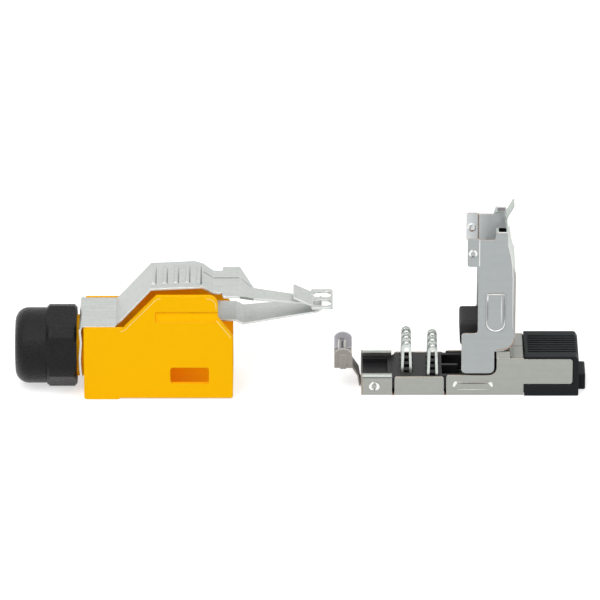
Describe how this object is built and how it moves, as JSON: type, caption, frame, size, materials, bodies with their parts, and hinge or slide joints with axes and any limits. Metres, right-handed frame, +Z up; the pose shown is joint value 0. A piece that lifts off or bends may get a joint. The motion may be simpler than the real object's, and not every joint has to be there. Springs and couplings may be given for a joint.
{
  "type": "ethernet plug",
  "caption": "Field-wired Ethernet plug taken apart: a yellow housing with a cable gland and folded latch spring, beside a shielded plug whose hinged lid stands open over its cutting contacts.",
  "frame": {"origin": "middle of the bounding box of both halves, on the surface they stand on", "axes": "+X along the plug towards the contact nose, +Z up"},
  "size_m": [0.1098, 0.0156, 0.0381],
  "materials": {
    "yellow_moulding": "satin moulded",
    "black_rubber": "matte",
    "dark_plastic": "satin moulded",
    "black_plastic": "fine grained",
    "spring_steel": "galvanised",
    "nickel_sheet": "nickel plated",
    "tinned_contact": "bright tinned",
    "gold_contact": "gold flashed",
    "board": "solder resist",
    "grey_cap": "satin moulded"
  },
  "bodies": {
    "root": {"housing": "yellow_moulding", "gland_seal": "black_rubber", "base_shell": "nickel_sheet", "cable_clamp": "nickel_sheet", "hinge_pin": "nickel_sheet", "carrier": "black_plastic", "circuit_board": "board", "nose": "dark_plastic", "idc_contact_1": "tinned_contact", "idc_contact_2": "tinned_contact", "idc_contact_3": "tinned_contact", "idc_contact_4": "tinned_contact", "idc_contact_5": "tinned_contact", "idc_contact_6": "tinned_contact", "idc_contact_7": "tinned_contact", "idc_contact_8": "tinned_contact", "blade_1": "gold_contact", "blade_2": "gold_contact", "blade_3": "gold_contact", "blade_4": "gold_contact", "blade_5": "gold_contact", "blade_6": "gold_contact", "blade_7": "gold_contact", "blade_8": "gold_contact"},
    "lid": {"lid_shell": "nickel_sheet", "lid_block": "black_plastic", "lid_end": "grey_cap", "lid_pad": "black_plastic"},
    "latch": {"latch_lever": "spring_steel", "latch_leaf": "spring_steel"},
    "nut": {"gland_nut": "black_plastic", "gland_slip_ring": "dark_plastic"}
  },
  "joints": [
    {"name": "lid_hinge", "type": "hinge", "parent": "root", "child": "lid", "pos_m": [0.0396, 0, 0.0096], "axis": [0, -1, 0], "range_deg": [0, 90]},
    {"name": "latch_press", "type": "hinge", "parent": "root", "child": "latch", "pos_m": [-0.0422, 0, 0.0083], "axis": [0, 1, 0], "range_deg": [0, 2.5], "stiffness_Nm_per_rad": 0.2},
    {"name": "nut_turn", "type": "hinge", "parent": "root", "child": "nut", "pos_m": [-0.049, 0, 0.0081], "axis": [-1, 0, 0], "range_deg": [0, 1080]}
  ]
}
